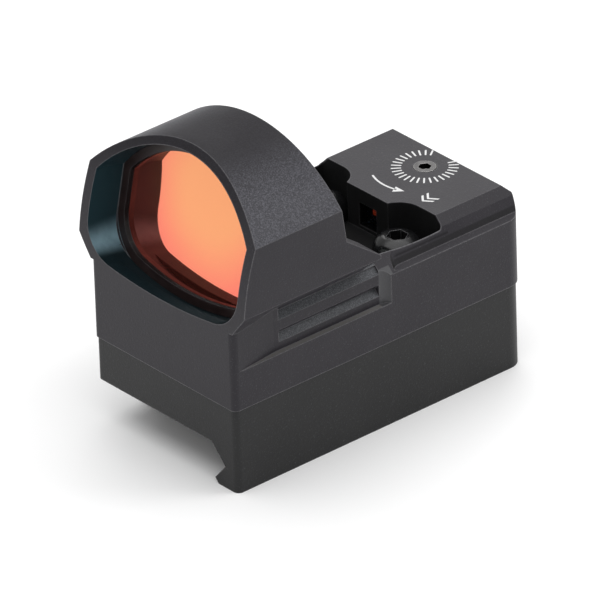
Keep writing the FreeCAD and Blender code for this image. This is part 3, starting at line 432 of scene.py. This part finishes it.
def clear_glass(name, tint, least, most):
    """Clear glass with faint smears. Its gloss grows from least to most towards grazing angles."""
    f = Finish(name)
    smear = f.noise(1.8 * MM, 4.0, 0.6)
    film = f.mix(f.span(smear, 0.3, 0.7), (0.010, 0.014, 0.018), (0.014, 0.012, 0.020))
    f.paint(Base_Color=film, Metallic=0.0, Roughness=f.span(smear, 0.3, 0.8, 0.02, 0.08))
    sheen = f.node("ShaderNodeLayerWeight")
    sheen.inputs["Blend"].default_value = 0.22
    return f.over_clear(tint, f.span(sheen.outputs["Fresnel"], 0.0, 1.0, least, most, smooth=False))


def machined(name, base, worn_and_highlight, metallic, rough, lines, scratch=0.4):
    """Turned or drawn metal: fine lines, smudges and edges rubbed to the bare metal, which also serves as a painted
    highlight along the edges.
    """
    f = Finish(name)
    fine = f.noise(0.05 * MM, 2.0, 0.6, f.stretched(lines))
    smudge = f.noise(1.1 * MM, 3.0, 0.6, seed=4.0)
    scuff = f.span(f.noise(0.35 * MM, 4.0, 0.75, seed=9.0), 0.58, 0.74, 0.0, scratch)
    colour = f.mix(scuff, f.mix(f.span(smudge, 0.3, 0.7), base, tuple(c * 1.5 for c in base)), worn_and_highlight)
    # Lighter edges: partly wear, partly a painted highlight.
    colour = f.mix(f.times(f.edges(0.10 * MM), 0.75), colour, worn_and_highlight)
    wave = f.span(smudge, 0.25, 0.75, rough * 0.8, rough * 1.35)
    return f.paint(Base_Color=colour, Metallic=metallic, Roughness=wave,
                   Normal=f.bump(fine, 0.004 * MM, 0.35, f.rounded(0.07 * MM)))


def rubber(name, base, dust):
    """Matt rubber with pores, dusty in patches and along its edges."""
    f = Finish(name)
    pores = f.noise(0.09 * MM, 3.0, 0.6)
    bloom = f.noise(0.9 * MM, 4.0, 0.65, seed=5.0)
    colour = f.mix(f.span(bloom, 0.45, 0.8, 0.0, 0.6), base, dust)
    colour = f.mix(f.times(f.edges(0.12 * MM), 0.5), colour, dust)
    return f.paint(Base_Color=colour, Roughness=f.span(bloom, 0.2, 0.8, 0.62, 0.82), Specular_IOR_Level=0.35,
                   Normal=f.bump(pores, 0.012 * MM, 0.6, f.rounded(0.08 * MM)))


def moulded(name, base, light, rough=0.45):
    """Moulded plastic with faint flow marks and lighter edges."""
    f = Finish(name)
    grain = f.noise(0.06 * MM, 2.0, 0.5)
    flow = f.noise(1.5 * MM, 2.0, 0.5, f.stretched((1.0, 0.4, 1.0)))
    colour = f.mix(f.span(flow, 0.3, 0.75), base, light)
    colour = f.mix(f.times(f.edges(0.08 * MM), 0.4), colour, tuple(min(1.0, c * 2.2) for c in light))
    return f.paint(Base_Color=colour, Roughness=f.span(flow, 0.2, 0.8, rough * 0.85, rough * 1.2),
                   Normal=f.bump(grain, 0.006 * MM, 0.5, f.rounded(0.05 * MM)))


def circuit(name):
    """Solder mask over copper tracks, seen as a slightly lighter and raised net."""
    f = Finish(name)
    net = f.cell_edges(0.9 * MM)
    track = f.span(net, 0.05, 0.09, 1.0, 0.0)
    mask = f.noise(0.25 * MM, 2.0, 0.5)
    colour = f.mix(track, f.mix(mask, (0.010, 0.075, 0.030), (0.016, 0.10, 0.042)), (0.035, 0.19, 0.075))
    return f.paint(Base_Color=colour, Roughness=f.span(mask, 0.2, 0.8, 0.26, 0.42),
                   Normal=f.bump(track, 0.02 * MM, 0.5))


def glowing(name):
    """The diode's die in its clear red case."""
    f = Finish(name)
    facet = f.noise(0.12 * MM, 2.0, 0.5)
    colour = f.mix(f.span(facet, 0.35, 0.7), (0.42, 0.018, 0.010), (0.75, 0.10, 0.03))
    return f.paint(Base_Color=colour, Roughness=f.span(facet, 0.2, 0.8, 0.12, 0.30), Emission_Color=colour,
                   Emission_Strength=0.5, Normal=f.bump(facet, 0.008 * MM, 0.4))


def marking(name, tone):
    """Laser-etched and paint-filled marks, with a slightly ragged cover."""
    f = Finish(name)
    cover = f.noise(0.07 * MM, 3.0, 0.6)
    colour = f.mix(f.span(cover, 0.30, 0.62), tuple(c * 0.62 for c in tone), tone)
    return f.paint(Base_Color=colour, Roughness=f.span(cover, 0.2, 0.8, 0.5, 0.75),
                   Normal=f.bump(cover, 0.01 * MM, 0.5))


def finishes():
    """One material for each material slot of the record."""
    return {
        "anodised_housing": anodised("anodised_housing", (0.0180, 0.0160, 0.0205), (0.0250, 0.0228, 0.0275), 0.18,
                                     housing=True),
        "anodised_mount": anodised("anodised_mount", (0.0150, 0.0150, 0.0155), (0.0195, 0.0195, 0.0200), 0.15),
        "coated_glass": clear_glass("coated_glass", (0.985, 0.985, 0.985), 0.0, 0.25),
        "clear_glass": clear_glass("clear_glass", (0.93, 0.98, 0.97), 0.05, 0.75),
        "blackened_frame": machined("blackened_frame", (0.013, 0.0065, 0.0062), (0.05, 0.05, 0.055), 0.0, 0.35,
                                    (1.0, 1.0, 1.0), 0.15),
        "black_steel": machined("black_steel", (0.006, 0.006, 0.0065), (0.26, 0.26, 0.27), 0.12, 0.20,
                                (1.0, 1.0, 0.15), 0.10),
        "bright_steel": machined("bright_steel", (0.055, 0.053, 0.053), (0.62, 0.60, 0.59), 1.0, 0.14,
                                 (1.0, 1.0, 0.15), 0.25),
        "spring_steel": machined("spring_steel", (0.30, 0.29, 0.28), (0.55, 0.54, 0.52), 1.0, 0.25,
                                 (0.3, 0.3, 1.0), 0.3),
        "black_rubber": rubber("black_rubber", (0.012, 0.012, 0.013), (0.030, 0.030, 0.031)),
        "button_rubber": rubber("button_rubber", (0.018, 0.018, 0.020), (0.045, 0.045, 0.047)),
        "brass_nut": machined("brass_nut", (0.46, 0.30, 0.10), (0.72, 0.55, 0.25), 1.0, 0.26, (1.0, 0.2, 1.0), 0.3),
        "black_plastic": moulded("black_plastic", (0.014, 0.014, 0.015), (0.022, 0.022, 0.024)),
        "emitter_red": glowing("emitter_red"),
        "board_green": circuit("board_green"),
        "flex_amber": moulded("flex_amber", (0.42, 0.17, 0.03), (0.55, 0.25, 0.05), 0.30),
        "cell_steel": machined("cell_steel", (0.44, 0.44, 0.43), (0.62, 0.62, 0.60), 1.0, 0.22,
                               (1.0, 0.12, 1.0), 0.35),
    }


def dress_nodes(paints):
    """Every CAD node gets the finish of its slot."""
    for part in frame["record"]["subparts"]:
        mesh = frame["nodes"][part["node"]].data
        mesh.materials.clear()
        mesh.materials.append(paints[part["material_slot"]])


def add_piece(name, made, paint, body, normals=None):
    """Makes a bmesh into a piece that rides on body. With normals, it is shaded smooth along them."""
    bmesh.ops.recalc_face_normals(made, faces=made.faces)
    mesh = bpy.data.meshes.new(name)
    made.to_mesh(mesh)
    made.free()
    if normals:
        for polygon in mesh.polygons:
            polygon.use_smooth = True
        mesh.normals_split_custom_set_from_vertices(normals)
    mesh.materials.append(paint)
    piece = bpy.data.objects.new(name, mesh)
    bpy.context.scene.collection.objects.link(piece)
    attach(piece, body)
    return piece


# ---------------------------------------------------------------- lens coating

# The shell's two faces above the lens, the share of the opening it fills, and its mesh.
COATING_RADIUS = 190.0 * MM
COATING_TOP, COATING_BOTTOM = 0.030 * MM, 0.015 * MM
COATING_FILL = 0.995
COATING_STEP = 0.5 * MM
COATING_RINGS = 16


def retainer_opening():
    """The lens face's height along the axis, the opening's middle, and points round its edge from that middle."""
    axis, rise = Vector(LENS_AXIS), Vector(LENS_RISE)
    retainer = frame["nodes"]["lens_retainer"].data
    corners = [v.co.copy() for v in retainer.vertices]
    core = sum(corners, Vector()) / len(corners)
    wall = {i for p in retainer.polygons for i in p.vertices
            if abs(p.normal.dot(axis)) < 0.5 and p.normal.dot(p.center - core) < 0.0}
    face = min(c.dot(axis) for c in corners)
    flat = {(round(corners[i].x, 6), round(corners[i].dot(rise), 6)) for i in wall
            if corners[i].dot(axis) - face < 0.001 * MM}
    middle = Vector((sum(p[0] for p in flat), sum(p[1] for p in flat))) / len(flat)
    rim = sorted((Vector(p) - middle for p in flat), key=lambda p: math.atan2(p.y, p.x))
    edge = []
    for here, after in zip(rim, rim[1:] + rim[:1]):
        steps = max(1, math.ceil((after - here).length / COATING_STEP))
        edge += [here.lerp(after, i / steps) * COATING_FILL for i in range(steps)]
    return face, middle, edge


def add_coating():
    """A thin flat shell on the lens, inside its retaining frame, with the shading of a slightly domed one."""
    axis, rise = Vector(LENS_AXIS), Vector(LENS_RISE)
    face, middle, edge = retainer_opening()
    made, normals, layers = bmesh.new(), [], []
    for height, side in ((COATING_TOP, 1.0), (COATING_BOTTOM, -1.0)):
        base = Vector((middle.x, 0.0, 0.0)) + rise * middle.y + axis * (face + height)
        layer = []
        for ring in range(COATING_RINGS + 1):
            row = []
            for spot in edge if ring else [Vector((0.0, 0.0))]:
                across = spot * (ring / COATING_RINGS)
                out = Vector((across.x, 0.0, 0.0)) + rise * across.y
                row.append(made.verts.new(base + out))
                depth = math.sqrt(COATING_RADIUS ** 2 - across.length_squared)
                normals.append((out + axis * depth).normalized() * side)
            layer.append(row)
        layers.append(layer)
    for i in range(len(edge)):
        j = (i + 1) % len(edge)
        for layer in layers:
            made.faces.new((layer[0][0], layer[1][i], layer[1][j]))
            for inner, outer in zip(layer[1:], layer[2:]):
                made.faces.new((inner[i], outer[i], outer[j], inner[j]))
        top, bottom = layers[0][-1], layers[1][-1]
        made.faces.new((top[i], bottom[i], bottom[j], top[j]))
    piece = add_piece("lens_coating", made, coating("lens_coating"), "sight", normals)
    # The walls in front of it don't pick up its colour.
    piece.visible_diffuse = False
    piece.visible_glossy = False


# ---------------------------------------------------------------- markings

def prism(name, outlines, depth, height, place, paint, body, turn=None):
    """Flat marks at place, each one outline drawn from depth below the surface to height above it."""
    made = bmesh.new()
    for outline in outlines:
        rings = [[made.verts.new((x, y, z)) for x, y in outline] for z in (-depth, height)]
        made.faces.new(rings[1])
        made.faces.new(list(reversed(rings[0])))
        for i in range(len(outline)):
            j = (i + 1) % len(outline)
            made.faces.new((rings[0][i], rings[0][j], rings[1][j], rings[1][i]))
    matrix = Matrix.Translation(place) @ (turn or Matrix.Identity(4))
    bmesh.ops.transform(made, matrix=matrix, verts=made.verts)
    add_piece(name, made, paint, body)


def arc(hub, radius, first, last, steps):
    """Points round hub from angle first to angle last, in radians."""
    angles = [first + (last - first) * i / steps for i in range(steps + 1)]
    return [(hub[0] + radius * math.cos(a), hub[1] + radius * math.sin(a)) for a in angles]


def capsule(start, end, width, steps=6):
    """Outline of a straight stroke with round ends."""
    turn = math.atan2(end.y - start.y, end.x - start.x)
    quarter = math.pi / 2
    return (arc(end, width / 2, turn - quarter, turn + quarter, steps)
            + arc(start, width / 2, turn + quarter, turn + 3 * quarter, steps))


def bow(radius, first, last, width, steps=24, cap=6):
    """Outline of a curved stroke round the origin, with round ends."""
    middle, half = (0.0, 0.0), width / 2
    start, end = ((radius * math.cos(a), radius * math.sin(a)) for a in (first, last))
    return (arc(middle, radius + half, first, last, steps)
            + arc(end, half, last, last + math.pi, cap)[1:-1]
            + arc(middle, radius - half, last, first, steps)
            + arc(start, half, first + math.pi, first + math.tau, cap)[1:-1])


# The flat on top of the rear block, and how far the printed marks reach into it and stand proud of it.
BLOCK_TOP = 18.49 * MM
INK_DEPTH, INK_HEIGHT = 0.012 * MM, 0.022 * MM

TICKS, FIRST_TICK, TICK_STEP = 26, 125.0, 12.0
TICK_START, TICK_END, TICK_WIDTH = 3.05 * MM, 4.15 * MM, 0.23 * MM

ARROW_RADIUS, ARROW_WIDTH = 6.75 * MM, 0.26 * MM
ARROW_FIRST, ARROW_LAST = math.radians(246.0), math.radians(286.0)
ARROW_HEAD = ((2.97, -6.0), (1.38, -6.0), (2.0, -7.2))

RAISE_MARK_PLACE = Vector((6.4 * MM, 14.5 * MM, BLOCK_TOP))
CHEVRON = ((-1.05, 0.65), (0.0, -0.20), (1.05, 0.65), (1.05, 0.30), (0.0, -0.55), (-1.05, 0.30))
CHEVRON_STEP = 0.85

SIGN_ARM, SIGN_HALF_WIDTH = 0.85 * MM, 0.16 * MM
SIGN_DEPTH, SIGN_HEIGHT = 0.03 * MM, 0.04 * MM


def add_top_marks():
    """A ring of ticks round the elevation screw, the way to turn it and the way that moves the dot."""
    white = marking("marking_white", (0.80, 0.80, 0.80))
    low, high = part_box("elevation_screw")
    hub = Vector(((low.x + high.x) / 2, (low.y + high.y) / 2, BLOCK_TOP))
    ticks = []
    for i in range(TICKS):
        angle = math.radians(FIRST_TICK + TICK_STEP * i)
        way = Vector((math.cos(angle), math.sin(angle)))
        ticks.append(capsule(way * TICK_START, way * TICK_END, TICK_WIDTH))
    shaft = bow(ARROW_RADIUS, ARROW_FIRST, ARROW_LAST, ARROW_WIDTH)
    head = [(x * MM, y * MM) for x, y in ARROW_HEAD]
    chevrons = [[(x * MM, (y - lift) * MM) for x, y in CHEVRON] for lift in (0.0, CHEVRON_STEP)]
    for name, outlines, place in (("elevation_scale", ticks, hub), ("elevation_arrow", [shaft, head], hub),
                                  ("raise_mark", chevrons, RAISE_MARK_PLACE)):
        prism(name, outlines, INK_DEPTH, INK_HEIGHT, place, white, "sight")


def add_button_signs():
    """A plus and a minus, set into the faces of the two buttons."""
    grey = marking("marking_grey", (0.42, 0.42, 0.43))
    arm, half = SIGN_ARM, SIGN_HALF_WIDTH
    plus = [(-arm, -half), (-half, -half), (-half, -arm), (half, -arm), (half, -half), (arm, -half),
            (arm, half), (half, half), (half, arm), (-half, arm), (-half, half), (-arm, half)]
    minus = [(-half, -arm), (half, -arm), (half, arm), (-half, arm)]
    outwards = Matrix.Rotation(math.radians(-90), 4, "Y")
    for name, outline in (("plus", plus), ("minus", minus)):
        low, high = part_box("button_" + name)
        middle = Vector((low.x, (low.y + high.y) / 2, (low.z + high.z) / 2))
        prism(name + "_sign", [outline], SIGN_DEPTH, SIGN_HEIGHT, middle, grey, name + "_button",
              outwards)


add_camera()
add_studio()
dress_nodes(finishes())
add_coating()
add_top_marks()
add_button_signs()
